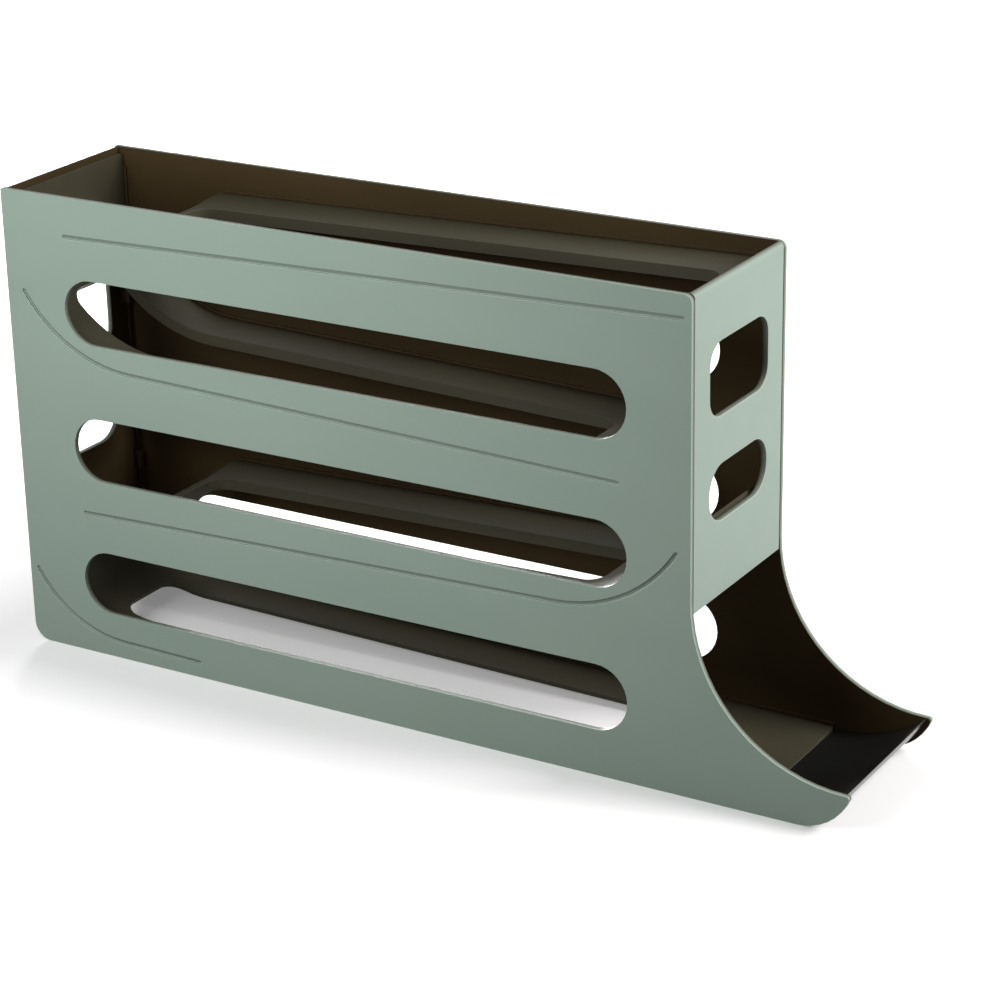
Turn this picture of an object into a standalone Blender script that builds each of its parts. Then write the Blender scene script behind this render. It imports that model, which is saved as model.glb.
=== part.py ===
"""Rolling egg dispenser: a narrow rack of four sloped ramps between two side plates.

Its load goes in at the open top, rolls to the back, drops to the next ramp, rolls to
the front and so on, and stops against a low lip at the exit. Metres, +Z up. The origin
is the middle of the footprint on the floor, and the exit looks towards +X. In the
sizes below, a distance along X is counted from the back face.
"""
import bpy
import bmesh
from math import acos, asin, atan2, cos, hypot, pi, radians, sin, sqrt, tan

# Overall
LENGTH = 0.400              # back face to the tip of the toe
EXIT_REACH = 0.069          # the tip in front of the front panel's face
WIDTH = 0.082
HEIGHT = 0.2093
PLATE_WALL = 0.0025
PANEL_WALL = 0.0025
FIT = 0.0003                # clearance between pieces that touch

# Side plate outline
FOOT_CORNER = 0.008         # round corner at the back of the base
TOP_CORNER = 0.0032         # round corner at the front of the top
TOP_BACK_CORNER = 0.0006    # its back corner is all but square
EXIT_HEIGHT = 0.017         # height of the exit's tip
TIP_FLAT = 0.002            # level stretch between the exit curve and the tip
TIP_ROUND = 0.0012
TOE_RADIUS = 0.024          # convex curve under the tip
PANEL_RIM_ROUND = 0.0022    # round outer edge along an end panel's top

# Tiers: the room of each ramp, one above the other
TIERS_BELOW_TOP = 3
TOP_ROOM = 0.0224           # top tier's datum to the rim
TIER_PITCH = (HEIGHT - TOP_ROOM) / TIERS_BELOW_TOP

# Long side windows with round ends, one in each of the three lower tiers
WINDOW_PAST_UPPER = 0.0321  # windows' ends beyond the knees of the two middle ramps
WINDOW_PAST_LOWER = 0.0325
SLOT_WINDOW_HEIGHT = 0.029
SLOT_WINDOW_LIFT = 0.0349   # middle above the tier's datum

# End panels and their windows
END_WINDOW_WIDTH = 0.0505
HIGH_WINDOW_CORNER = 0.009
LOW_WINDOW_CORNER = 0.0115
FRONT_PANEL_LIFT = 0.0162   # lower edge above the second tier's datum
FRONT_HIGH_WINDOW = 0.0306
FRONT_HIGH_LIFT = 0.0445    # middle above the third tier's datum
FRONT_LOW_WINDOW = 0.0238
FRONT_LOW_LIFT = 0.0596     # middle above the second tier's datum
REAR_HIGH_WINDOW = 0.0365
REAR_HIGH_LIFT = 0.0142     # middle above the third tier's datum
REAR_LOW_WINDOW = 0.0275
REAR_LOW_LIFT = 0.0280      # middle above the second tier's datum

# Ramps. Each follows a route in the side view, which the plates' outer grooves show.
SLOPE = radians(1.5)
DROP_GAP = 0.0495           # free way between a ramp's end and the panel
CATCH_RADIUS = 0.066        # round catch at the end of a run
CATCH_EASE = 0.020          # smaller bend from the catch into the upright back
BOTTOM_CATCH_RADIUS = 0.054
TOP_FRONT_LIFT = 0.0129     # route of the top ramp at the front, above its datum
UPPER_LEAN = radians(24.59) # how far from upright the smaller bend meets the catch
UPPER_KNEE_LIFT = 0.0102    # where the run meets the catch
LOWER_END_LEAN = radians(27.15) # how far from upright the catch ends at the front panel
LOWER_KNEE_LIFT = 0.0106
BOTTOM_LEAN = radians(27.64) # how far from upright the catch starts at the rear panel
BOTTOM_SLOPE = radians(1.1)
BOTTOM_END_LIFT = 0.0020    # at the exit lip
BACKREST_DROP = 0.0028      # top of the upright back below the rim
RAMP_WALL = 0.002
SEAT_RISE = 0.0013          # middle of the sheet above its route at the plates
RAIL_DROP = 0.0013          # how much lower a rail is at the slot
STRIP_WIDTH = 0.0029        # flat strip along each edge, held by the plate
ROLL_RADIUS = 0.006         # ramp's end rolled down at a drop gap
ROLL_ANGLE = radians(70)
RAMP_SLOT = 0.036           # width of the long slot that the load rolls along
SLOT_CORNER = 0.008
SLOT_MARGIN = 0.010         # from a drop end to the slot
TOP_SLOT_FRONT = 0.0125     # slot's end before the front panel's inner face
LANDING = 0.0505            # unbroken stretch at the lower middle ramp's catch
UPPER_SLOT_LIFT = 0.0334    # slot's upper end in the catch, above the third tier's datum
BOTTOM_SLOT_BACK = 0.032
BOTTOM_SLOT_FRONT = 0.026   # from the slot to the exit lip
RAMP_CORNER = 0.0015
END_GAP = 0.0010            # from a catch's end to an end panel
HEM_WALL = 0.0016           # down-turned hem round the slot
HEM_DEPTH = 0.003

# Channels in the side plates that hold the ramps
LEDGE_WALL = 0.0016
BEAD_WALL = 0.0012
BEAD_DEPTH = 0.0010
GROOVE_WIDTH = 0.0018
GROOVE_DEPTH = 0.0009
TOP_GROOVE_BACK = 0.0328
LOWER_GROOVE_BACK = 0.0336
UPPER_GROOVE_FRONT = 0.0321 # from the front panel's face
BOTTOM_GROOVE_FRONT = 0.0911
TOP_GROOVE_FRONT = 0.0039   # from the front panel's face
CATCH_GROOVE_STOP = 0.0089  # from the end face, where a groove in a catch stops
LOWER_GROOVE_STOP = 0.0064  # from the front panel's face
BOTTOM_GROOVE_STOP = 0.0045
BEAD_TOP_GAP = 0.006        # from the upright back's top to its bead

# Stop ribs on the plates and the panels' snap hooks
RIB_WALL = 0.0016
RIB_DEPTH = 0.0029
RIB_CLEAR = 0.003           # from a rib's end to the ramp's channel
HOOK_WALL = 0.0016
HOOK_REACH = 0.0016
HOOK_TIP = 0.0014
HOOK_HEIGHT = 0.008
HOOK_PLACE_SHARES = (1 / 6, 1 / 2, 5 / 6)

# Exit lip and the plugs that hold it
LIP_SETBACK = 0.002         # lip's front behind the toe's outline
LIP_START = 0.0422          # lip's back edge from the tip
LIP_WALL = 0.0014
LIP_FOOT_LIFT = 0.0033      # lower edge of the lip's front skin
LIP_RIB_SHARES = (1 / 4, 1 / 2, 3 / 4)
LIP_RIB_WALL = 0.0014
PLUG_DEPTH = 0.0029
PLUG_BACK = 0.018           # plug's back edge from the lip's back edge

# Facets
FACET_DEPTH = 0.00007       # facets stay this close to the true curve
SAME_PLACE = 0.00001        # points closer than this are one
SMOOTH_ANGLE = radians(32)

# Worked out from the sizes above
BODY_LENGTH = LENGTH - EXIT_REACH
HALF_WIDTH = WIDTH / 2
INNER_HALF = HALF_WIDTH - PLATE_WALL
PIECE_HALF = INNER_HALF - FIT
FRONT_INNER = BODY_LENGTH - PANEL_WALL
CENTRE_SHIFT = LENGTH / 2
LEDGE_DEPTH = STRIP_WIDTH
STRIP_EDGE = PIECE_HALF - STRIP_WIDTH
SLOT_HALF = RAMP_SLOT / 2
SECOND_TIER = TIER_PITCH
THIRD_TIER = 2 * TIER_PITCH
TOP_TIER = TIERS_BELOW_TOP * TIER_PITCH
LIP_BACK = LENGTH - LIP_START
BOTTOM_END = LIP_BACK - FIT
UPRIGHT_BACK = PANEL_WALL + FIT + RAMP_WALL / 2 - SEAT_RISE
UPPER_KNEE_BACK = (UPRIGHT_BACK + CATCH_EASE + (CATCH_RADIUS - CATCH_EASE) * cos(UPPER_LEAN)
                   - CATCH_RADIUS * sin(SLOPE))
LOWER_KNEE_FRONT = PANEL_WALL + END_GAP + CATCH_RADIUS * (cos(LOWER_END_LEAN) - sin(SLOPE))
SLOT_WINDOW_BACK = UPPER_KNEE_BACK - WINDOW_PAST_UPPER
SLOT_WINDOW_FRONT = LOWER_KNEE_FRONT - WINDOW_PAST_LOWER
BOTTOM_KNEE_BACK = (PANEL_WALL + END_GAP
                    + BOTTOM_CATCH_RADIUS * (cos(BOTTOM_LEAN) - sin(BOTTOM_SLOPE)))
BOTTOM_KNEE_LIFT = BOTTOM_END_LIFT + (BOTTOM_END - BOTTOM_KNEE_BACK) * tan(BOTTOM_SLOPE)


def facets(radius, angle):
    """How many facets an arc takes to stay close to the true curve."""
    step = 2 * acos(1 - min(1, FACET_DEPTH / abs(radius)))
    return max(1, round(abs(angle) / step))


class Route:
    """A ramp's line in the side view: straight and round stretches, end to end.

    A place on it is (s, n): the way along the line, and the height above it.
    """

    def __init__(self, x, z, heading, stretches):
        self.stretches = []
        self.length = 0
        for length, bend in stretches:
            self.stretches.append((self.length, length, bend, x, z, heading))
            x, z, heading = self.advance(x, z, heading, length, bend)
            self.length += length

    @staticmethod
    def advance(x, z, heading, length, bend):
        """Go a length along a line or, where bend isn't zero, along an arc."""
        if not bend:
            return x + length * cos(heading), z + length * sin(heading), heading
        radius = length / bend
        turned = heading + bend
        x += radius * (sin(turned) - sin(heading))
        z -= radius * (cos(turned) - cos(heading))
        return x, z, turned

    def place(self, s, n=0):
        """The point (x, z) at s along the route and n above it."""
        for start, length, bend, x, z, heading in reversed(self.stretches):
            if s >= start or start == 0:
                share = (s - start) / length
                x, z, heading = self.advance(x, z, heading, s - start, bend * share)
                return x - n * sin(heading), z + n * cos(heading)

    def stations(self, low, high):
        """Ways along the route from low to high, closer together where it is round."""
        marks = [low, high]
        for start, length, bend, *_ in self.stretches:
            count = facets(length / bend, bend) if bend else 1
            marks += [start + length * i / count for i in range(count + 1)]
        inside = sorted(mark for mark in marks if low <= mark <= high)
        kept = [low]
        for mark in inside:
            if mark - kept[-1] > FIT and high - mark > FIT:
                kept.append(mark)
        return kept + [high]

    def where_x(self, x, low, high):
        """The way along the route, between low and high, at which it is at x."""
        rising = self.place(high)[0] > self.place(low)[0]
        for _ in range(50):
            middle = (low + high) / 2
            if (self.place(middle)[0] < x) == rising:
                low = middle
            else:
                high = middle
        return (low + high) / 2

    def where_z(self, z, low, high):
        """The way along the route, between low and high, at which it is at height z."""
        rising = self.place(high)[1] > self.place(low)[1]
        for _ in range(50):
            middle = (low + high) / 2
            if (self.place(middle)[1] < z) == rising:
                low = middle
            else:
                high = middle
        return (low + high) / 2


def arc(x, z, radius, start, end):
    """Points of an arc round (x, z), both ends included."""
    count = facets(radius, end - start) if radius else 1
    angles = [start + (end - start) * i / count for i in range(count + 1)]
    return [(x + radius * cos(a), z + radius * sin(a)) for a in angles]


def rounded_box(left, bottom, right, top, radius):
    """Outline of a box with round corners, anticlockwise."""
    radius = min(radius, (right - left) / 2, (top - bottom) / 2)
    points = []
    for x, z, start in ((right - radius, top - radius, 0),
                        (left + radius, top - radius, pi / 2),
                        (left + radius, bottom + radius, pi),
                        (right - radius, bottom + radius, 3 * pi / 2)):
        points += arc(x, z, radius, start, start + pi / 2)
    return without_repeats(points)


def same(a, b):
    """Whether two coordinates are one."""
    return abs(a - b) < SAME_PLACE


def without_repeats(points):
    """The outline without points that lie on the one before them."""
    kept = []
    for point in points:
        if not kept or hypot(point[0] - kept[-1][0], point[1] - kept[-1][1]) > SAME_PLACE:
            kept.append(point)
    if hypot(kept[0][0] - kept[-1][0], kept[0][1] - kept[-1][1]) < SAME_PLACE:
        kept.pop()
    return kept


def band(route, low, high, under, over, round_ends=False):
    """Outline of a stripe along a route, between two heights beside it."""
    ways = route.stations(low, high)
    points = [route.place(s, under) for s in ways]
    if round_ends:
        points += band_end(route, high, under, over, -pi / 2)
    points += [route.place(s, over) for s in reversed(ways)]
    if round_ends:
        points += band_end(route, low, under, over, pi / 2)
    return points


def band_end(route, s, under, over, start):
    """Points of a stripe's half-round end, its two corners left out."""
    radius = (over - under) / 2
    middle = (over + under) / 2
    turned = arc(0, 0, radius, start, start + pi)[1:-1]
    return [route.place(s + ds, middle + dn) for ds, dn in turned]


def ring_of(bm, points, to_place, level):
    """Vertices and edges of a closed outline at one level."""
    verts = [bm.verts.new(to_place(u, v, level)) for u, v in points]
    edges = [bm.edges.new((verts[i - 1], verts[i])) for i in range(len(verts))]
    return verts, edges


def wall(bm, low, high):
    """Quads between two rings with the same number of points."""
    low, high = low[0], high[0]
    return [bm.faces.new((low[i - 1], low[i], high[i], high[i - 1])) for i in range(len(low))]


def fill(bm, rings):
    """A flat face inside the first ring, with the other rings as holes."""
    edges = [edge for _, ring_edges in rings for edge in ring_edges]
    bmesh.ops.triangle_fill(bm, use_beauty=True, use_dissolve=False, edges=edges)


def stepped_sheet(bm, to_place, wall_size, outline, holes=(), low_steps=(), high_steps=()):
    """A flat sheet with holes, and steps that rise from, or sink into, its two faces.

    The sheet lies between levels 0 and wall_size. A step is (outline, levels), where the
    levels are those of its end and of any ring on the way to it.
    """
    low = [ring_of(bm, outline, to_place, 0)]
    high = [ring_of(bm, outline, to_place, wall_size)]
    wall(bm, low[0], high[0])
    for points in holes:
        low.append(ring_of(bm, points, to_place, 0))
        high.append(ring_of(bm, points, to_place, wall_size))
        wall(bm, low[-1], high[-1])
    for steps, rings, base in ((low_steps, low, 0), (high_steps, high, wall_size)):
        for points, levels in steps:
            last = ring_of(bm, points, to_place, base)
            rings.append(last)
            for level in levels:
                ring = ring_of(bm, points, to_place, level)
                wall(bm, last, ring)
                last = ring
            fill(bm, [last])
    fill(bm, low)
    fill(bm, high)
    bmesh.ops.recalc_face_normals(bm, faces=bm.faces[:])


def material(name, colour, roughness):
    """A plastic of one colour."""
    made = bpy.data.materials.new(name)
    made.use_nodes = True
    shader = made.node_tree.nodes["Principled BSDF"]
    shader.inputs["Base Color"].default_value = (*colour, 1)
    shader.inputs["Roughness"].default_value = roughness
    shader.inputs["Metallic"].default_value = 0
    return made


def piece(name, bm, skin):
    """Turn a bmesh into a named object of one material."""
    mesh = bpy.data.meshes.new(name)
    bm.to_mesh(mesh)
    bm.free()
    mesh.materials.append(skin)
    mesh.shade_smooth()
    mesh.set_sharp_from_angle(angle=SMOOTH_ANGLE)
    made = bpy.data.objects.new(name, mesh)
    bpy.context.scene.collection.objects.link(made)
    return made


# Routes of the four ramps

def roll_way(slope):
    """Way along X that a rolled-down end takes, its sheet's thickness included."""
    tilt = slope + ROLL_ANGLE
    sheet = SEAT_RISE + RAMP_WALL / 2
    return sheet * sin(tilt) + ROLL_RADIUS * (sin(tilt) - sin(slope))


def catch_at_back(knee_x, knee_z, slope, radius, stop_x, end_x):
    """A round catch that starts at stop_x, then a run down from the knee to end_x."""
    centre_x = knee_x + radius * sin(slope)
    centre_z = knee_z + radius * cos(slope)
    lean = acos((centre_x - stop_x) / radius)
    catch = pi / 2 - lean - slope
    run = (end_x - knee_x) / cos(slope)
    return Route(stop_x, centre_z - radius * sin(lean), lean - pi / 2,
                 [(radius * catch, catch), (run, 0)])


def catch_at_front(start_x, knee_x, knee_z, slope, radius, stop_x):
    """A run up from start_x to the knee, then a round catch that stops at stop_x."""
    reach = stop_x - knee_x + radius * sin(slope)
    catch = asin(reach / radius) - slope
    run = (knee_x - start_x) / cos(slope)
    return Route(start_x, knee_z - run * sin(slope), slope,
                 [(run, 0), (radius * catch, catch)])


def rolled_start(route, slope):
    """The same route with the ramp's rolled-down end before its start."""
    x, z = route.place(0)
    tilt = slope + ROLL_ANGLE
    x -= ROLL_RADIUS * (sin(tilt) - sin(slope))
    z -= ROLL_RADIUS * (cos(slope) - cos(tilt))
    rest = [(length, bend) for _, length, bend, *_ in route.stretches]
    return Route(x, z, tilt, [(ROLL_RADIUS * ROLL_ANGLE, -ROLL_ANGLE)] + rest)


def top_route():
    """Open at the back, climbing to the front panel."""
    start_x = PANEL_WALL + DROP_GAP + roll_way(SLOPE)
    end_x = FRONT_INNER - FIT
    run = (end_x - start_x) / cos(SLOPE)
    end_z = TOP_TIER + TOP_FRONT_LIFT
    return rolled_start(Route(start_x, end_z - run * sin(SLOPE), SLOPE, [(run, 0)]), SLOPE)


def upper_route():
    """Upright back, round catch, then a run down to an open front end."""
    centre_z = THIRD_TIER + UPPER_KNEE_LIFT + CATCH_RADIUS * cos(SLOPE)
    rest = CATCH_RADIUS - CATCH_EASE
    top_z = HEIGHT - BACKREST_DROP
    catch = pi / 2 - UPPER_LEAN - SLOPE
    end_x = FRONT_INNER - DROP_GAP - roll_way(SLOPE)
    run = (end_x - UPPER_KNEE_BACK) / cos(SLOPE)
    stretches = [(top_z - centre_z + rest * sin(UPPER_LEAN), 0),
                 (CATCH_EASE * UPPER_LEAN, UPPER_LEAN),
                 (CATCH_RADIUS * catch, catch),
                 (run, 0),
                 (ROLL_RADIUS * ROLL_ANGLE, -ROLL_ANGLE)]
    return Route(UPRIGHT_BACK, top_z, -pi / 2, stretches)


def lower_route():
    """Open at the back, climbing to a round catch at the front panel."""
    start_x = PANEL_WALL + DROP_GAP + roll_way(SLOPE)
    route = catch_at_front(start_x, BODY_LENGTH - LOWER_KNEE_FRONT, SECOND_TIER + LOWER_KNEE_LIFT,
                           SLOPE, CATCH_RADIUS, FRONT_INNER - END_GAP)
    return rolled_start(route, SLOPE)


def bottom_route():
    """Round catch at the back, then a run down to the exit lip."""
    return catch_at_back(BOTTOM_KNEE_BACK, BOTTOM_KNEE_LIFT, BOTTOM_SLOPE, BOTTOM_CATCH_RADIUS,
                         PANEL_WALL + END_GAP, BOTTOM_END)


TOP = top_route()
UPPER = upper_route()
LOWER = lower_route()
BOTTOM = bottom_route()
ROLL_LENGTH = ROLL_RADIUS * ROLL_ANGLE


# Heights beside a route, in the plates' channels
SHEET_UNDER = SEAT_RISE - RAMP_WALL / 2
SHEET_OVER = SEAT_RISE + RAMP_WALL / 2
LEDGE_OVER = SHEET_UNDER - FIT
LEDGE_UNDER = LEDGE_OVER - LEDGE_WALL
BEAD_UNDER = SHEET_OVER + FIT
BEAD_OVER = BEAD_UNDER + BEAD_WALL


# Exit lip's section

TOE_X = (LENGTH - TIP_ROUND
         - sqrt((TOE_RADIUS - TIP_ROUND) ** 2 - (TOE_RADIUS - EXIT_HEIGHT + TIP_ROUND) ** 2))
LIP_FRONT_RADIUS = TOE_RADIUS - LIP_SETBACK
LIP_TIP_X = TOE_X + sqrt(LIP_FRONT_RADIUS ** 2 - (TOE_RADIUS - EXIT_HEIGHT) ** 2)
LIP_BACK_Z = BOTTOM.place(BOTTOM.length, SHEET_OVER - RAIL_DROP)[1]
LIP_RISE = EXIT_HEIGHT - LIP_BACK_Z
LIP_TRAY_RADIUS = ((LIP_TIP_X - LIP_BACK) ** 2 + LIP_RISE ** 2) / (2 * LIP_RISE)
LIP_TRAY_Z = LIP_BACK_Z + LIP_TRAY_RADIUS
LIP_FOOT_ANGLE = -asin((TOE_RADIUS - LIP_FOOT_LIFT) / LIP_FRONT_RADIUS)


def lip_corner(under_tray, behind_front):
    """Where a line under the tray meets a line behind the front, near the tip."""
    tray = LIP_TRAY_RADIUS + under_tray
    front = LIP_FRONT_RADIUS - behind_front
    across = TOE_X - LIP_BACK
    rise = TOE_RADIUS - LIP_TRAY_Z
    apart = hypot(across, rise)
    along = (apart ** 2 + tray ** 2 - front ** 2) / (2 * apart)
    beside = sqrt(tray ** 2 - along ** 2)
    x = LIP_BACK + (along * across - beside * rise) / apart
    z = LIP_TRAY_Z + (along * rise + beside * across) / apart
    return x, z


def lip_lines(under_tray, behind_front, back_x):
    """The tray's line from back_x to the tip, and the front's line down to its foot."""
    x, z = lip_corner(under_tray, behind_front)
    tray = LIP_TRAY_RADIUS + under_tray
    start = -acos((back_x - LIP_BACK) / tray)
    end = atan2(z - LIP_TRAY_Z, x - LIP_BACK)
    front_start = atan2(z - TOE_RADIUS, x - TOE_X)
    tray_line = arc(LIP_BACK, LIP_TRAY_Z, tray, start, end)
    front_line = arc(TOE_X, TOE_RADIUS, LIP_FRONT_RADIUS - behind_front,
                     front_start, LIP_FOOT_ANGLE)
    return tray_line, front_line


def lip_filling(gap):
    """Outline of the room inside the lip, kept clear of its skins by a gap."""
    back_x = LIP_BACK + PLUG_BACK
    tray_line, front_line = lip_lines(LIP_WALL + gap, LIP_WALL + gap, back_x)
    return without_repeats(tray_line + front_line[1:] + [(back_x, LIP_SETBACK)])


# Side plates

def plate_outline():
    """The plate seen from the side: foot, toe, exit curve and square top."""
    tip_x = LENGTH - TIP_ROUND
    tip_z = EXIT_HEIGHT - TIP_ROUND
    tangent = atan2(tip_z - TOE_RADIUS, tip_x - TOE_X)
    exit_radius = LENGTH - TIP_FLAT - BODY_LENGTH
    points = arc(FOOT_CORNER, FOOT_CORNER, FOOT_CORNER, pi, 3 * pi / 2)
    points += arc(TOE_X, TOE_RADIUS, TOE_RADIUS, -pi / 2, tangent)
    points += arc(tip_x, tip_z, TIP_ROUND, tangent, pi / 2)
    points += arc(LENGTH - TIP_FLAT, EXIT_HEIGHT + exit_radius, exit_radius, 3 * pi / 2, pi)
    points += arc(BODY_LENGTH - TOP_CORNER, HEIGHT - TOP_CORNER, TOP_CORNER, 0, pi / 2)
    points += arc(TOP_BACK_CORNER, HEIGHT - TOP_BACK_CORNER, TOP_BACK_CORNER, pi / 2, pi)
    return without_repeats(points)


def side_windows():
    """Outlines of the three long windows."""
    outlines = []
    for tier in range(TIERS_BELOW_TOP):
        middle = tier * TIER_PITCH + SLOT_WINDOW_LIFT
        outlines.append(rounded_box(SLOT_WINDOW_BACK, middle - SLOT_WINDOW_HEIGHT / 2,
                                    BODY_LENGTH - SLOT_WINDOW_FRONT,
                                    middle + SLOT_WINDOW_HEIGHT / 2,
                                    SLOT_WINDOW_HEIGHT / 2))
    return outlines


def outer_grooves():
    """Outlines of the grooves that mark the ramps on a plate's outer face."""
    slope_z = TOP_TIER + TOP_FRONT_LIFT
    top_end = BODY_LENGTH - TOP_GROOVE_FRONT
    run = (top_end - TOP_GROOVE_BACK) / cos(SLOPE)
    start_z = slope_z - (FRONT_INNER - TOP_GROOVE_BACK) * sin(SLOPE) / cos(SLOPE)
    routes = [
        Route(TOP_GROOVE_BACK, start_z, SLOPE, [(run, 0)]),
        catch_at_back(UPPER_KNEE_BACK, THIRD_TIER + UPPER_KNEE_LIFT, SLOPE, CATCH_RADIUS,
                      CATCH_GROOVE_STOP, BODY_LENGTH - UPPER_GROOVE_FRONT),
        catch_at_front(LOWER_GROOVE_BACK, BODY_LENGTH - LOWER_KNEE_FRONT,
                       SECOND_TIER + LOWER_KNEE_LIFT, SLOPE, CATCH_RADIUS,
                       BODY_LENGTH - LOWER_GROOVE_STOP),
        catch_at_back(BOTTOM_KNEE_BACK, BOTTOM_KNEE_LIFT, BOTTOM_SLOPE, BOTTOM_CATCH_RADIUS,
                      BOTTOM_GROOVE_STOP, BOTTOM_GROOVE_FRONT),
    ]
    half = GROOVE_WIDTH / 2
    return [band(route, 0, route.length, -half, half, True) for route in routes]


def channels():
    """Outlines of the ledges under the ramps and of the beads over them."""
    upper_end = UPPER.length - ROLL_LENGTH - FIT
    upper_knee = UPPER.stretches[3][0]
    upper_stop = UPPER.where_x(CATCH_GROOVE_STOP, 0, upper_knee)
    lower_stop = LOWER.where_x(BODY_LENGTH - LOWER_GROOVE_STOP, 0, LOWER.length)
    bottom_stop = BOTTOM.where_x(BOTTOM_GROOVE_STOP, 0, BOTTOM.length)
    start = ROLL_LENGTH + FIT
    ledges = [(TOP, start, TOP.length), (UPPER, upper_stop, upper_end),
              (LOWER, start, lower_stop), (BOTTOM, bottom_stop, BOTTOM.length)]
    beads = [(TOP, start, TOP.length), (UPPER, BEAD_TOP_GAP, upper_end),
             (LOWER, start, lower_stop), (BOTTOM, bottom_stop, BOTTOM.length)]
    return ([band(route, low, high, LEDGE_UNDER, LEDGE_OVER) for route, low, high in ledges],
            [band(route, low, high, BEAD_UNDER, BEAD_OVER) for route, low, high in beads])


def front_rib_spans():
    """Heights of the stop ribs behind the front panel, below and above a ramp's catch."""
    rib_x = FRONT_INNER - FIT - RIB_WALL
    under_catch = LOWER.place(LOWER.where_x(rib_x, 0, LOWER.length), LEDGE_UNDER)[1]
    over_catch = LOWER.place(LOWER.length, BEAD_OVER)[1]
    under_top = TOP.place(TOP.where_x(rib_x, 0, TOP.length), LEDGE_UNDER)[1]
    foot = SECOND_TIER + FRONT_PANEL_LIFT
    return [(foot + RIB_CLEAR, under_catch - RIB_CLEAR),
            (over_catch + RIB_CLEAR, under_top - RIB_CLEAR)]


def rear_rib_span():
    """Heights of the stop rib before the rear panel."""
    over_catch = BOTTOM.place(0, BEAD_OVER)[1]
    upper_knee = UPPER.stretches[3][0]
    stop = UPPER.where_x(CATCH_GROOVE_STOP, 0, upper_knee)
    return over_catch + RIB_CLEAR, UPPER.place(stop)[1] - RIB_CLEAR


def stop_ribs():
    """Outlines of the ribs that the end panels bear on."""
    back = PANEL_WALL + FIT
    front = FRONT_INNER - FIT - RIB_WALL
    low, high = rear_rib_span()
    outlines = [rounded_box(back, low, back + RIB_WALL, high, 0)]
    for low, high in front_rib_spans():
        outlines.append(rounded_box(front, low, front + RIB_WALL, high, 0))
    return outlines


def side_plate(name, side, skin):
    """A side plate; side is -1 for the near one and 1 for the far one."""
    def to_place(x, z, level):
        return x - CENTRE_SHIFT, side * (HALF_WIDTH - level), z

    ledges, beads = channels()
    inner = [(points, [PLATE_WALL + LEDGE_DEPTH]) for points in ledges]
    inner += [(points, [PLATE_WALL + BEAD_DEPTH]) for points in beads]
    inner += [(points, [PLATE_WALL + RIB_DEPTH]) for points in stop_ribs()]
    inner.append((lip_filling(FIT), [PLATE_WALL + PLUG_DEPTH]))
    outer = [(points, [GROOVE_DEPTH]) for points in outer_grooves()]
    bm = bmesh.new()
    stepped_sheet(bm, to_place, PLATE_WALL, plate_outline(), side_windows(), outer, inner)
    return piece(name, bm, skin)


# End panels

def hook_steps(centres):
    """Stems of the snap hooks, at both sides of a panel and at given heights."""
    tip = INNER_HALF - RIB_DEPTH - FIT
    steps = []
    for side in (-1, 1):
        left, right = sorted((side * tip, side * (tip - HOOK_WALL)))
        for middle in centres:
            outline = [(left, middle - HOOK_HEIGHT / 2), (right, middle - HOOK_HEIGHT / 2),
                       (right, middle + HOOK_HEIGHT / 2), (left, middle + HOOK_HEIGHT / 2)]
            neck = PANEL_WALL + RIB_WALL + 2 * FIT
            steps.append((outline, [neck, neck + HOOK_TIP]))
    return steps


def bend_hooks(bm, neck_x, head_x):
    """Draw each hook's head out behind the stop rib."""
    tip = INNER_HALF - RIB_DEPTH - FIT
    for side in (-1, 1):
        heads = []
        for face in bm.faces:
            on_tip = all(same(vert.co.y, side * tip) for vert in face.verts)
            at_neck = any(same(vert.co.x, neck_x) for vert in face.verts)
            at_head = any(same(vert.co.x, head_x) for vert in face.verts)
            if on_tip and at_neck and at_head:
                heads.append(face)
        for face in heads:
            made = bmesh.ops.extrude_discrete_faces(bm, faces=[face])["faces"][0]
            bmesh.ops.translate(bm, verts=made.verts[:], vec=(0, side * HOOK_REACH, 0))


def end_panel(name, outer_x, inward, foot, windows, hooks, skin):
    """An end panel between the plates, with windows and snap hooks."""
    def to_place(y, z, level):
        return outer_x + inward * level - CENTRE_SHIFT, y, z

    outline = [(-PIECE_HALF, foot), (PIECE_HALF, foot), (PIECE_HALF, HEIGHT), (-PIECE_HALF, HEIGHT)]
    holes = []
    for middle, height, corner in windows:
        holes.append(rounded_box(-END_WINDOW_WIDTH / 2, middle - height / 2,
                                 END_WINDOW_WIDTH / 2, middle + height / 2, corner))
    bm = bmesh.new()
    stepped_sheet(bm, to_place, PANEL_WALL, outline, holes, (), hook_steps(hooks))
    neck = PANEL_WALL + RIB_WALL + 2 * FIT
    bend_hooks(bm, to_place(0, 0, neck)[0], to_place(0, 0, neck + HOOK_TIP)[0])
    face_x = outer_x - CENTRE_SHIFT
    rim = [edge for edge in bm.edges
           if all(same(vert.co.x, face_x) and same(vert.co.z, HEIGHT) for vert in edge.verts)]
    bmesh.ops.bevel(bm, geom=rim, offset=PANEL_RIM_ROUND, offset_type="OFFSET", segments=4,
                    profile=0.5, affect="EDGES", material=-1)
    bmesh.ops.recalc_face_normals(bm, faces=bm.faces[:])
    return piece(name, bm, skin)


def shared_places(low, high, shares):
    """Heights at given shares of the way from low to high."""
    return [low + (high - low) * share for share in shares]


# Ramps

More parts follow.
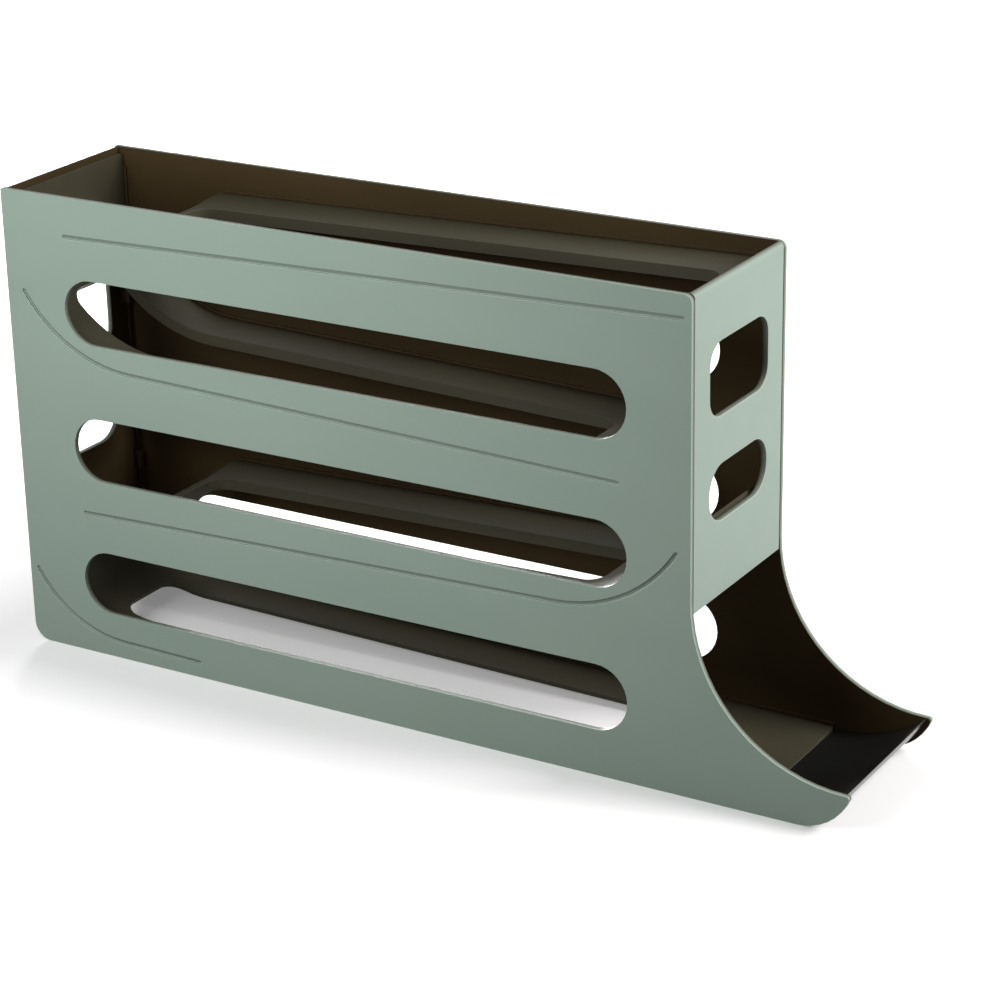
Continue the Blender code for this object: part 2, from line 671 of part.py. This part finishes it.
def ramp(name, route, slot_low, slot_high, hem, flat_way, sloped_way, skin):
    """A ramp: a sheet with a long slot, laid along its route.

    Its rails slope to the slot on the run. They are flat at flat_way and fully
    sloped from sloped_way on.
    """
    length = route.length
    bm = bmesh.new()
    outline = rounded_box(0, -PIECE_HALF, length, PIECE_HALF, RAMP_CORNER)
    slot = rounded_box(slot_low, -SLOT_HALF, slot_high, SLOT_HALF, SLOT_CORNER)

    def flat(s, y, level):
        return s, y, level + SHEET_UNDER

    if hem:
        rim = rounded_box(slot_low - HEM_WALL, -SLOT_HALF - HEM_WALL,
                          slot_high + HEM_WALL, SLOT_HALF + HEM_WALL, SLOT_CORNER + HEM_WALL)
        hemmed_sheet(bm, flat, outline, slot, rim)
    else:
        stepped_sheet(bm, flat, RAMP_WALL, outline, [slot])
    for s in route.stations(0, length)[1:-1]:
        cut(bm, (s, 0, 0), (1, 0, 0))
    for y in (-STRIP_EDGE, -SLOT_HALF, SLOT_HALF, STRIP_EDGE):
        cut(bm, (0, y, 0), (0, 1, 0))
    for vert in bm.verts:
        s, y, n = vert.co
        across = min(1, max(0, (STRIP_EDGE - abs(y)) / (STRIP_EDGE - SLOT_HALF)))
        along = min(1, max(0, (s - flat_way) / (sloped_way - flat_way)))
        x, z = route.place(s, n - RAIL_DROP * across * along)
        vert.co = x - CENTRE_SHIFT, y, z
    bmesh.ops.recalc_face_normals(bm, faces=bm.faces[:])
    return piece(name, bm, skin)


def cut(bm, point, direction):
    """Split every face along a plane."""
    bmesh.ops.bisect_plane(bm, geom=bm.verts[:] + bm.edges[:] + bm.faces[:],
                           dist=SAME_PLACE / 10, plane_co=point, plane_no=direction)


def hemmed_sheet(bm, to_place, outline, slot, rim):
    """A sheet with one slot, whose edge turns down into a hem."""
    low = ring_of(bm, outline, to_place, 0)
    high = ring_of(bm, outline, to_place, RAMP_WALL)
    slot_high = ring_of(bm, slot, to_place, RAMP_WALL)
    slot_low = ring_of(bm, slot, to_place, -HEM_DEPTH)
    rim_high = ring_of(bm, rim, to_place, 0)
    rim_low = ring_of(bm, rim, to_place, -HEM_DEPTH)
    wall(bm, low, high)
    wall(bm, slot_low, slot_high)
    wall(bm, rim_low, rim_high)
    fill(bm, [low, rim_high])
    fill(bm, [high, slot_high])
    fill(bm, [rim_low, slot_low])
    bmesh.ops.recalc_face_normals(bm, faces=bm.faces[:])


# Exit lip

def prism(name, outline, low, high, skin):
    """A solid of one outline in the side view, from low to high along Y."""
    bm = bmesh.new()
    rings = [ring_of(bm, outline, lambda x, z, y: (x - CENTRE_SHIFT, y, z), y) for y in (low, high)]
    wall(bm, rings[0], rings[1])
    fill(bm, [rings[0]])
    fill(bm, [rings[1]])
    bmesh.ops.recalc_face_normals(bm, faces=bm.faces[:])
    return piece(name, bm, skin)


def unite(target, tool):
    """Join a tool's solid to a target and delete the tool."""
    step = target.modifiers.new("unite", "BOOLEAN")
    step.operation = "UNION"
    step.solver = "EXACT"
    step.object = tool
    graph = bpy.context.evaluated_depsgraph_get()
    target.data = bpy.data.meshes.new_from_object(target.evaluated_get(graph))
    target.modifiers.remove(step)
    bpy.data.objects.remove(tool)


def exit_lip(skin):
    """A hollow lip across the toe: a curved tray, a round front and cross ribs."""
    tray, front = lip_lines(0, 0, LIP_BACK)
    tray_inside, front_inside = lip_lines(LIP_WALL, LIP_WALL, LIP_BACK)
    outline = tray + front[1:] + front_inside[::-1] + tray_inside[::-1][1:]
    lip = prism("exit_lip", without_repeats(outline), -PIECE_HALF, PIECE_HALF, skin)
    for middle in shared_places(-PIECE_HALF, PIECE_HALF, LIP_RIB_SHARES):
        rib = prism("rib", lip_filling(-LIP_WALL / 2), middle - LIP_RIB_WALL / 2,
                    middle + LIP_RIB_WALL / 2, skin)
        unite(lip, rib)
    lip.data.shade_smooth()
    lip.data.set_sharp_from_angle(angle=SMOOTH_ANGLE)


for old in list(bpy.data.objects):
    bpy.data.objects.remove(old)

GREEN = material("sage_green_plastic", (0.27, 0.33, 0.27), 0.45)
OLIVE = material("dark_olive_plastic", (0.055, 0.055, 0.035), 0.35)
BLACK = material("gloss_black_plastic", (0.012, 0.012, 0.012), 0.15)

side_plate("side_plate_near", -1, GREEN)
side_plate("side_plate_far", 1, GREEN)

FRONT_HOOKS = [sum(front_rib_spans()[0]) / 2]
FRONT_HOOKS += shared_places(*front_rib_spans()[1], HOOK_PLACE_SHARES[::2])
end_panel("front_panel", BODY_LENGTH, -1, SECOND_TIER + FRONT_PANEL_LIFT,
          [(THIRD_TIER + FRONT_HIGH_LIFT, FRONT_HIGH_WINDOW, HIGH_WINDOW_CORNER),
           (SECOND_TIER + FRONT_LOW_LIFT, FRONT_LOW_WINDOW, LOW_WINDOW_CORNER)],
          FRONT_HOOKS, GREEN)
end_panel("rear_panel", 0, 1, FOOT_CORNER,
          [(THIRD_TIER + REAR_HIGH_LIFT, REAR_HIGH_WINDOW, HIGH_WINDOW_CORNER),
           (SECOND_TIER + REAR_LOW_LIFT, REAR_LOW_WINDOW, LOW_WINDOW_CORNER)],
          shared_places(*rear_rib_span(), HOOK_PLACE_SHARES), GREEN)

DROP_SLOT = PANEL_WALL + DROP_GAP + SLOT_MARGIN
ramp("ramp_top", TOP, TOP.where_x(DROP_SLOT, 0, TOP.length),
     TOP.where_x(FRONT_INNER - TOP_SLOT_FRONT, 0, TOP.length), True, -FIT, 0, OLIVE)
UPPER_CATCH = UPPER.stretches[2][0]
UPPER_KNEE = UPPER.stretches[3][0]
ramp("ramp_upper_middle", UPPER,
     UPPER.where_z(THIRD_TIER + UPPER_SLOT_LIFT, 0, UPPER_KNEE),
     UPPER.where_x(FRONT_INNER - DROP_GAP - SLOT_MARGIN, UPPER_KNEE, UPPER.length),
     True, UPPER_CATCH, UPPER_KNEE, OLIVE)
LOWER_KNEE = LOWER.stretches[2][0]
ramp("ramp_lower_middle", LOWER, LOWER.where_x(DROP_SLOT, 0, LOWER_KNEE),
     LOWER.where_x(FRONT_INNER - LANDING, 0, LOWER.length),
     True, LOWER.length, LOWER_KNEE, OLIVE)
BOTTOM_KNEE = BOTTOM.stretches[1][0]
ramp("ramp_bottom", BOTTOM, BOTTOM.where_x(BOTTOM_SLOT_BACK, 0, BOTTOM_KNEE),
     BOTTOM.length - BOTTOM_SLOT_FRONT, False, 0, BOTTOM_KNEE, OLIVE)
exit_lip(BLACK)
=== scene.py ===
"""Rolling egg dispenser: a narrow rack of moulded plastic with four sloped ramps between
two side plates. It is filled at the open top and emptied at the low exit. Metres, +Z up,
with the exit towards +X."""
import math
import bmesh
import bpy
from mathutils import Matrix, Vector


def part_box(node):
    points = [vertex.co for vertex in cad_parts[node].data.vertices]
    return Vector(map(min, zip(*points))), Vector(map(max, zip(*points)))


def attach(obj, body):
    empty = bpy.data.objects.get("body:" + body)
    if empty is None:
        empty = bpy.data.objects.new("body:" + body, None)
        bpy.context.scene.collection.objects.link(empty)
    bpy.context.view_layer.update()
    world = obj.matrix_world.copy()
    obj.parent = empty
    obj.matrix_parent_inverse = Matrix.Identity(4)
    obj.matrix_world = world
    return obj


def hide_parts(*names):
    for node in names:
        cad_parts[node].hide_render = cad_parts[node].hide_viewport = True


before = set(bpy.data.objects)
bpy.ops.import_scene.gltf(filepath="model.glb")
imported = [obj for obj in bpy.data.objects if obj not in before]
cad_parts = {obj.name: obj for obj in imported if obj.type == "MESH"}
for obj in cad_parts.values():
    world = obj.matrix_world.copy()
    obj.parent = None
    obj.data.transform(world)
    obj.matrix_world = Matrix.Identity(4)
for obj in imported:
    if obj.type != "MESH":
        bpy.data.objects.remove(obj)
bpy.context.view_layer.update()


# Side plates
# The two walls of the rack, injection moulded in sage green plastic with a fine satin
# grain. Shallow grooves on their outer faces follow the ramps; their darker colour is
# painted shade. Inside they carry the channels that hold the ramps, and are painted dark
# as shade. Their softened edges are a little paler, a painted highlight.

PLATE_WALL = 0.0025
PLATE_EDGE_ROUND = 0.00045
PLATE_OUTER_FACE = 0.041
PLATE_INNER_FACE = PLATE_OUTER_FACE - PLATE_WALL
GROOVE_DEPTH = 0.0009
GROOVE_FLOOR = PLATE_OUTER_FACE - GROOVE_DEPTH
GROOVE_EDGE_ROUND = 0.00025

# How a CAD node's faces are joined up, and which of its edges are rounded
SAME_POINT = 0.000002
SAME_DEPTH = 0.00002
SAME_PLANE = math.radians(0.5)
SMOOTH_UP_TO = math.radians(32)
ROUNDED_FROM = math.radians(35)
ROUND_STEPS = 3
OUTSIDE_SKIN, EDGE_SKIN, PAINTED_SHADE_SKIN, GROOVE_PAINTED_SHADE_SKIN, GROOVE_EDGE_SKIN = range(5)

# The moulded plastic: noise patterns, their sizes, and how much of each one shows
PITS = {"Detail": 2, "Roughness": 0.6}
MOTTLE = {"Detail": 3, "Roughness": 0.45}
MOTTLE_SIZE = 0.03
MOTTLE_FROM = 0.3
MOTTLE_FULL = 0.7
RUBS = {"Scale": 95, "Detail": 4, "Distortion": 0.8}
RUBS_FROM = 0.60
RUBS_FULL = 0.78
PLASTIC_IOR = 1.46
PLAIN_SHINE = 0.5

# Colours, and pairs of values: roughness where plain and where rubbed, size and depth of
# the grain's pits. A stretch below 1 draws the mottle and the rubs out along the rack.
# Over the fade, out from a wall's inner face, the inside's painted shade turns into the outer
# colour.
SAGE = (0.286, 0.364, 0.311)
SAGE_SHADE = (0.268, 0.345, 0.292)
SAGE_ROUGH = (0.50, 0.42)
# Paler edge colour: a painted highlight along the rounded rims.
SAGE_EDGE_PAINTED_HIGHLIGHT = (0.44, 0.50, 0.425)
SAGE_EDGE_PAINTED_HIGHLIGHT_TONE = (0.38, 0.445, 0.37)
SAGE_EDGE_ROUGH = (0.40, 0.34)
SAGE_SHINE = 0.25
# Darker groove colour: painted shade in the recess.
GROOVE_PAINTED_SHADE = (0.142, 0.186, 0.158)
GROOVE_PAINTED_SHADE_TONE = (0.131, 0.173, 0.146)
GROOVE_ROUGH = (0.54, 0.46)
# Paler groove lips: a painted highlight.
GROOVE_EDGE_PAINTED_HIGHLIGHT = (0.330, 0.412, 0.355)
GROOVE_EDGE_ROUGH = (0.44, 0.38)
# Dark brown inner faces: painted shade for the dim inside of the rack.
INSIDE_PAINTED_SHADE = (0.060, 0.040, 0.017)
INSIDE_PAINTED_SHADE_TONE = (0.044, 0.029, 0.012)
INSIDE_ROUGH = (0.62, 0.54)
INSIDE_SHINE = 0.08
PAINTED_SHADE_FADE = 0.0020
WALL_GRAIN = (0.00035, 0.000006)
EDGE_GRAIN = (0.0005, 0.000002)
WALL_STRETCH = 0.35


def mapped(nodes, links, source, low, high, from_low=0.0, from_high=1.0):
    """A value carried over from one range to another."""
    node = nodes.new("ShaderNodeMapRange")
    for name, value in (("From Min", from_low), ("From Max", from_high),
                        ("To Min", low), ("To Max", high)):
        node.inputs[name].default_value = value
    links.new(source, node.inputs["Value"])
    return node.outputs[0]


def worked_out(nodes, links, operation, *values):
    """The result of a maths operation on numbers or value sockets."""
    node = nodes.new("ShaderNodeMath")
    node.operation = operation
    for socket, value in zip(node.inputs, values):
        if isinstance(value, bpy.types.NodeSocket):
            links.new(value, socket)
        else:
            socket.default_value = value
    return node.outputs[0]


def blended(nodes, links, mask, first, second):
    """Two colours or colour sockets mixed by a mask."""
    node = nodes.new("ShaderNodeMix")
    node.data_type = "RGBA"
    links.new(mask, node.inputs["Factor"])
    for socket, colour in ((node.inputs["A"], first), (node.inputs["B"], second)):
        if isinstance(colour, tuple):
            socket.default_value = (*colour, 1)
        else:
            links.new(colour, socket)
    return node.outputs["Result"]


def moulded_grain():
    """Node group: the fine pits of a satin mould, the slow mottle of cooled plastic, and
    the rubs of use. The mottle and the rubs are drawn out along X by the stretch."""
    group = bpy.data.node_groups.new("moulded_grain", "ShaderNodeTree")
    for name, value in (("Grain Size", WALL_GRAIN[0]), ("Mottle Size", MOTTLE_SIZE),
                        ("Stretch", 1.0)):
        socket = group.interface.new_socket(name, in_out="INPUT", socket_type="NodeSocketFloat")
        socket.default_value = value
    for name in ("Grain", "Mottle", "Scuff"):
        group.interface.new_socket(name, in_out="OUTPUT", socket_type="NodeSocketFloat")
    nodes, links = group.nodes, group.links
    given = nodes.new("NodeGroupInput")
    made = nodes.new("NodeGroupOutput")
    place = nodes.new("ShaderNodeTexCoord").outputs["Object"]

    def noise(settings, where, size=None):
        """A noise pattern. Where a size is named, its patches are about that large."""
        pattern = nodes.new("ShaderNodeTexNoise")
        for name, value in settings.items():
            pattern.inputs[name].default_value = value
        links.new(where, pattern.inputs["Vector"])
        if size:
            per_metre = worked_out(nodes, links, "DIVIDE", 1, given.outputs[size])
            links.new(per_metre, pattern.inputs["Scale"])
        return pattern.outputs[0]

    flow_scale = nodes.new("ShaderNodeCombineXYZ")
    flow_scale.inputs["Y"].default_value = 1
    flow_scale.inputs["Z"].default_value = 1
    links.new(given.outputs["Stretch"], flow_scale.inputs["X"])
    flow = nodes.new("ShaderNodeMapping")
    links.new(place, flow.inputs["Vector"])
    links.new(flow_scale.outputs[0], flow.inputs["Scale"])

    pits = noise(PITS, place, "Grain Size")
    mottle = noise(MOTTLE, flow.outputs[0], "Mottle Size")
    rubs = noise(RUBS, flow.outputs[0])
    links.new(pits, made.inputs["Grain"])
    links.new(mapped(nodes, links, mottle, 0, 1, MOTTLE_FROM, MOTTLE_FULL),
              made.inputs["Mottle"])
    links.new(mapped(nodes, links, rubs, 0, 1, RUBS_FROM, RUBS_FULL), made.inputs["Scuff"])
    return group


GRAIN = moulded_grain()


def satin_plastic(name, colour, shade, rough, grain, stretch, shine=PLAIN_SHINE):
    """Grained plastic of one colour with a slow mottle, rubbed smoother in places."""
    plain_rough, rubbed_rough = rough
    pit_size, pit_depth = grain
    made = bpy.data.materials.new(name)
    made.use_nodes = True
    nodes, links = made.node_tree.nodes, made.node_tree.links
    shader = nodes["Principled BSDF"]
    shader.inputs["IOR"].default_value = PLASTIC_IOR
    shader.inputs["Specular IOR Level"].default_value = shine
    skin = nodes.new("ShaderNodeGroup")
    skin.name = "grain"
    skin.node_tree = GRAIN
    skin.inputs["Grain Size"].default_value = pit_size
    skin.inputs["Stretch"].default_value = stretch
    mottle = skin.outputs["Mottle"]
    links.new(blended(nodes, links, mottle, colour, shade), shader.inputs["Base Color"])
    worn = worked_out(nodes, links, "MULTIPLY", skin.outputs["Scuff"], mottle)
    links.new(mapped(nodes, links, worn, plain_rough, rubbed_rough), shader.inputs["Roughness"])
    relief = nodes.new("ShaderNodeBump")
    relief.inputs["Strength"].default_value = 1
    relief.inputs["Distance"].default_value = pit_depth
    links.new(skin.outputs["Grain"], relief.inputs["Height"])
    links.new(relief.outputs[0], shader.inputs["Normal"])
    return made


def paint_shade_inward(skin, axis, inner_face):
    """Let a wall's colour turn into the inside's painted shade on its way in to the inner face.
    """
    nodes, links = skin.node_tree.nodes, skin.node_tree.links
    colour = nodes["Principled BSDF"].inputs["Base Color"]
    place = nodes.new("ShaderNodeTexCoord")
    split = nodes.new("ShaderNodeSeparateXYZ")
    links.new(place.outputs["Object"], split.inputs[0])
    out = worked_out(nodes, links, "ABSOLUTE", split.outputs[axis])
    deep = mapped(nodes, links, out, 1, 0, inner_face, inner_face + PAINTED_SHADE_FADE)
    dark = blended(nodes, links, nodes["grain"].outputs["Mottle"], INSIDE_PAINTED_SHADE, INSIDE_PAINTED_SHADE_TONE)
    links.new(blended(nodes, links, deep, colour.links[0].from_socket, dark), colour)


def moulded(node, name, edge_round, skins, axis=0, inner_face=0.0, groove_floor=None,
            trim=None):
    """A finished piece from a CAD node: its faces are joined up and its edges rounded.

    The skins are those of the outside, of the edges (paler, a painted highlight), of the
    faces that lie no further out along an axis than a wall's inner face (dark, painted
    shade), and of the grooves that go down to a given floor (darker, painted shade) and of
    their edges (paler, a painted highlight). A trim changes the joined faces before the rest.
    """
    bm = bmesh.new()
    bm.from_mesh(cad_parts[node].data)
    bmesh.ops.remove_doubles(bm, verts=bm.verts[:], dist=SAME_POINT)
    if trim:
        trim(bm)
    bmesh.ops.dissolve_limit(bm, angle_limit=SAME_PLANE, use_dissolve_boundaries=False,
                             verts=bm.verts[:], edges=bm.edges[:])
    grooves = set()
    # Faces inside a wall's inner face take the painted-shade skin; groove faces take the
    # darker, painted-shade groove skin.
    for face in bm.faces:
        depths = [abs(vert.co[axis]) for vert in face.verts]
        within = max(depths) < inner_face + SAME_DEPTH
        face.material_index = PAINTED_SHADE_SKIN if within else OUTSIDE_SKIN
        if groove_floor and any(abs(depth - groove_floor) < SAME_DEPTH for depth in depths):
            face.material_index = GROOVE_PAINTED_SHADE_SKIN
            grooves.add(face)
    rim = bm.edges.layers.float.new("rim")
    groove = bm.edges.layers.float.new("groove")
    for edge in bm.edges:
        if edge.calc_face_angle(0) > ROUNDED_FROM:
            edge[groove if grooves.intersection(edge.link_faces) else rim] = 1
    mesh = bpy.data.meshes.new(name)
    bm.to_mesh(mesh)
    bm.free()
    mesh.shade_smooth()
    mesh.set_sharp_from_angle(angle=SMOOTH_UP_TO)
    for skin in skins:
        mesh.materials.append(skin)
    made = bpy.data.objects.new(name, mesh)
    bpy.context.scene.collection.objects.link(made)
    # The rounded edges take the paler skins, a painted highlight.
    for edges, width, skin in (("rim", edge_round, EDGE_SKIN),
                               ("groove", GROOVE_EDGE_ROUND, GROOVE_EDGE_SKIN)):
        rounding = made.modifiers.new("rounded " + edges, "BEVEL")
        rounding.width = width
        rounding.segments = ROUND_STEPS
        rounding.limit_method = "WEIGHT"
        rounding.edge_weight = edges
        rounding.use_clamp_overlap = True
        rounding.harden_normals = True
        rounding.material = skin
    joined = made.modifiers.new("joined corners", "WELD")
    joined.merge_threshold = SAME_POINT
    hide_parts(node)
    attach(made, "root")


def sage_skins(wall, axis, inner_face):
    """Outside, painted-highlight edge and painted-shade inside skins of a green wall whose
    outside looks along an axis.
    """
    outside = satin_plastic("sage_" + wall, SAGE, SAGE_SHADE, SAGE_ROUGH,
                            WALL_GRAIN, WALL_STRETCH, SAGE_SHINE)
    edge = satin_plastic("sage_painted_highlight_edge_" + wall, SAGE_EDGE_PAINTED_HIGHLIGHT, SAGE_EDGE_PAINTED_HIGHLIGHT_TONE, SAGE_EDGE_ROUGH,
                         EDGE_GRAIN, WALL_STRETCH, SAGE_SHINE)
    for skin in (outside, edge):
        paint_shade_inward(skin, axis, inner_face)
    return outside, edge, inside


inside = satin_plastic("dark_inside_painted_shade", INSIDE_PAINTED_SHADE, INSIDE_PAINTED_SHADE_TONE, INSIDE_ROUGH,
                       WALL_GRAIN, WALL_STRETCH, INSIDE_SHINE)
groove = satin_plastic("sage_groove", GROOVE_PAINTED_SHADE, GROOVE_PAINTED_SHADE_TONE, GROOVE_ROUGH,
                       WALL_GRAIN, WALL_STRETCH)
groove_edge = satin_plastic("sage_groove_edge", GROOVE_EDGE_PAINTED_HIGHLIGHT, SAGE, GROOVE_EDGE_ROUGH,
                            EDGE_GRAIN, WALL_STRETCH)
plate_skins = (*sage_skins("plate", "Y", PLATE_INNER_FACE), groove, groove_edge)
for node, name in (("side_plate_near", "near_side_plate"),
                   ("side_plate_far", "far_side_plate")):
    moulded(node, name, PLATE_EDGE_ROUND, plate_skins,
            axis=1, inner_face=PLATE_INNER_FACE, groove_floor=GROOVE_FLOOR)


# Ramps
# Four sheets of plastic, moulded with a long slot each, lie in the plates' channels. Their
# dark olive is painted shade, and their paler edges a painted highlight. The rails beside a
# slot slope towards it. Use rubs them a little smoother than the plates.

RAMP_EDGE_ROUND = 0.00035
# The ramps' dark olive is painted shade for the dim inside of the rack.
OLIVE_PAINTED_SHADE = (0.068, 0.064, 0.041)
OLIVE_PAINTED_SHADE_TONE = (0.048, 0.044, 0.027)
OLIVE_ROUGH = (0.46, 0.38)
OLIVE_SHINE = 0.15
OLIVE_GRAIN = (0.0003, 0.000004)
# Paler edge colour: a painted highlight.
OLIVE_EDGE_PAINTED_HIGHLIGHT = (0.092, 0.088, 0.062)
OLIVE_EDGE_PAINTED_HIGHLIGHT_TONE = (0.072, 0.068, 0.047)
OLIVE_EDGE_ROUGH = (0.38, 0.32)
OLIVE_EDGE_SHINE = 0.2
RAMP_STRETCH = 0.25

olive = satin_plastic("olive_painted_shade_satin", OLIVE_PAINTED_SHADE, OLIVE_PAINTED_SHADE_TONE, OLIVE_ROUGH,
                      OLIVE_GRAIN, RAMP_STRETCH, OLIVE_SHINE)
olive_edge = satin_plastic("olive_painted_highlight_edge", OLIVE_EDGE_PAINTED_HIGHLIGHT, OLIVE_EDGE_PAINTED_HIGHLIGHT_TONE,
                           OLIVE_EDGE_ROUGH, EDGE_GRAIN, RAMP_STRETCH, OLIVE_EDGE_SHINE)
for node, name in (("ramp_bottom", "bottom_ramp"), ("ramp_lower_middle", "lower_middle_ramp"),
                   ("ramp_upper_middle", "upper_middle_ramp"), ("ramp_top", "top_ramp")):
    moulded(node, name, RAMP_EDGE_ROUND, (olive, olive_edge))


# End panels
# The front and rear walls are flat mouldings with two rounded windows each. They snap
# behind ribs of the side plates. Outside they are the same sage green with paler edges, a
# painted highlight; inside they carry the same dark painted shade as the other inner walls.

PANEL_WALL = 0.0025
PANEL_EDGE_ROUND = 0.00045
PANEL_TOP_ROUND = 0.0022


def straight_top_round(bm):
    """Carry the round along a panel's top straight out to the panel's two ends."""
    outer = max(abs(vert.co.x) for vert in bm.verts)
    end = max(abs(vert.co.y) for vert in bm.verts)
    foot = max(vert.co.z for vert in bm.verts) - PANEL_TOP_ROUND
    for vert in bm.verts:
        in_round = abs(vert.co.x) > outer - PANEL_TOP_ROUND + SAME_POINT
        if in_round and vert.co.z > foot - SAME_POINT:
            vert.co.y = math.copysign(end, vert.co.y)
            if abs(vert.co.x) > outer - SAME_POINT:
                vert.co.z = foot
    bmesh.ops.remove_doubles(bm, verts=bm.verts[:], dist=SAME_POINT)


for node, name, end in (("rear_panel", "rear_wall", "rear"),
                        ("front_panel", "front_wall", "front")):
    inner_face = max(abs(corner[0]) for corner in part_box(node)) - PANEL_WALL
    moulded(node, name, PANEL_EDGE_ROUND, sage_skins(end, "X", inner_face),
            inner_face=inner_face, trim=straight_top_round)


# Exit lip
# A hollow cap of glossy black plastic spans the toe between the plates and bars the
# exit at its end. It sits on plugs inside the plates.

LIP_EDGE_ROUND = 0.0004
BLACK = (0.012, 0.0125, 0.012)
BLACK_SHADE = (0.009, 0.009, 0.0088)
BLACK_ROUGH = (0.20, 0.14)
# Paler edge colour: a painted highlight.
BLACK_EDGE_PAINTED_HIGHLIGHT = (0.022, 0.023, 0.022)
BLACK_EDGE_ROUGH = (0.24, 0.18)
BLACK_GRAIN = (0.0006, 0.000001)
LIP_STRETCH = 0.5

black = satin_plastic("black_gloss", BLACK, BLACK_SHADE, BLACK_ROUGH, BLACK_GRAIN, LIP_STRETCH)
black_edge = satin_plastic("black_painted_highlight_edge", BLACK_EDGE_PAINTED_HIGHLIGHT, BLACK, BLACK_EDGE_ROUGH,
                           BLACK_GRAIN, LIP_STRETCH)
moulded("exit_lip", "exit_stop", LIP_EDGE_ROUND, (black, black_edge))


# Table
# A smooth white sweep under the rack, with nothing on it. It takes the rack's soft
# shadow and fades to plain white a little way out from the rack's footprint.

FLOOR_HALF = 2.5
FOOTPRINT_HALF = (0.20, 0.041, 0)
FLOOR_WHITE = (0.86, 0.86, 0.86)
FLOOR_BOUNCE = (0.15, 0.15, 0.15)
FLOOR_ROUGH = 0.6
FLOOR_SHINE = 0.2
FLOOR_GLOW = 0.20
FADE_FROM = 0.02
FADE_TO = 0.16
WHITE = (1, 1, 1)


def seen_rays(nodes, links):
    """1 for rays that show a surface in the picture, or in gloss or glass; 0 for others."""
    rays = nodes.new("ShaderNodeLightPath")
    seen = rays.outputs["Is Camera Ray"]
    for other in ("Is Glossy Ray", "Is Transmission Ray"):
        seen = worked_out(nodes, links, "MAXIMUM", seen, rays.outputs[other])
    return seen


bm = bmesh.new()
bmesh.ops.create_grid(bm, x_segments=1, y_segments=1, size=FLOOR_HALF)
floor_mesh = bpy.data.meshes.new("table")
bm.to_mesh(floor_mesh)
bm.free()
floor = bpy.data.objects.new("table", floor_mesh)
bpy.context.scene.collection.objects.link(floor)
white = bpy.data.materials.new("white_table")
white.use_nodes = True
nodes, links = white.node_tree.nodes, white.node_tree.links
shader = nodes["Principled BSDF"]
shader.inputs["Roughness"].default_value = FLOOR_ROUGH
shader.inputs["Specular IOR Level"].default_value = FLOOR_SHINE
shader.inputs["Emission Color"].default_value = (*WHITE, 1)
seen = seen_rays(nodes, links)
links.new(blended(nodes, links, seen, FLOOR_BOUNCE, FLOOR_WHITE), shader.inputs["Base Color"])

# How far a point lies out from the footprint sets how much the table glows there
away = nodes.new("ShaderNodeTexCoord").outputs["Object"]
for operation, value in (("ABSOLUTE", None), ("SUBTRACT", FOOTPRINT_HALF),
                         ("MAXIMUM", (0, 0, 0)), ("LENGTH", None)):
    step = nodes.new("ShaderNodeVectorMath")
    step.operation = operation
    links.new(away, step.inputs[0])
    if value:
        step.inputs[1].default_value = value
    away = step.outputs["Value"] if operation == "LENGTH" else step.outputs["Vector"]
fade = mapped(nodes, links, away, FLOOR_GLOW, 1, FADE_FROM, FADE_TO)
links.new(worked_out(nodes, links, "MULTIPLY", fade, seen), shader.inputs["Emission Strength"])
floor_mesh.materials.append(white)


# Studio
# A soft box in front, low and left of the middle, lights the near plate and fades
# towards the toe. A slightly warm one on the right lights the front wall, and a small
# low one behind lights the far plate and the rear wall. A pale room fills the shadows.

ROOM_FILL = 0.10
WARM_WHITE = (1, 0.965, 0.965)

world = bpy.data.worlds.new("white_room")
world.use_nodes = True
nodes, links = world.node_tree.nodes, world.node_tree.links
sky = nodes["Background"]
sky.inputs["Color"].default_value = (*WHITE, 1)
level = mapped(nodes, links, seen_rays(nodes, links), ROOM_FILL, 1)
links.new(level, sky.inputs["Strength"])
bpy.context.scene.world = world


def soft_box(name, place, aim, side, power, colour=WHITE):
    """A square lamp that looks at a point."""
    lamp = bpy.data.lights.new(name, "AREA")
    lamp.shape = "SQUARE"
    lamp.size = side
    lamp.energy = power
    lamp.color = colour
    made = bpy.data.objects.new(name, lamp)
    bpy.context.scene.collection.objects.link(made)
    made.location = place
    away = made.location - Vector(aim)
    made.rotation_euler = away.to_track_quat("Z", "Y").to_euler()


soft_box("key_soft_box", place=(-0.16, -0.44, 0.36), aim=(-0.06, -0.04, 0.18),
         side=0.3, power=2.15)
soft_box("side_soft_box", place=(0.75, 0.22, 0.55), aim=(0.13, 0, 0.15),
         side=0.4, power=8.7, colour=WARM_WHITE)
soft_box("back_soft_box", place=(-0.60, 0.80, 0.10), aim=(0, 0, 0.10),
         side=0.2, power=8.5)


# Camera
# It looks down on the near plate and the front wall from the right, with a long lens.

CAMERA_PLACE = (0.6150, -0.9845, 0.5443)
CAMERA_ROUND = math.radians(31.104)
CAMERA_DOWN = math.radians(21.430)
CAMERA_ROLL = math.radians(-1.141)
LENS_MM = 106.996
SENSOR_MM = 36

lens = bpy.data.cameras.new("camera")
lens.lens = LENS_MM
lens.sensor_width = SENSOR_MM
camera = bpy.data.objects.new("camera", lens)
bpy.context.scene.collection.objects.link(camera)
camera.matrix_world = (Matrix.Translation(CAMERA_PLACE)
                       @ Matrix.Rotation(CAMERA_ROUND, 4, "Z")
                       @ Matrix.Rotation(math.pi / 2 - CAMERA_DOWN, 4, "X")
                       @ Matrix.Rotation(CAMERA_ROLL, 4, "Z"))
bpy.context.scene.camera = camera
bpy.context.scene.view_settings.view_transform = "Standard"
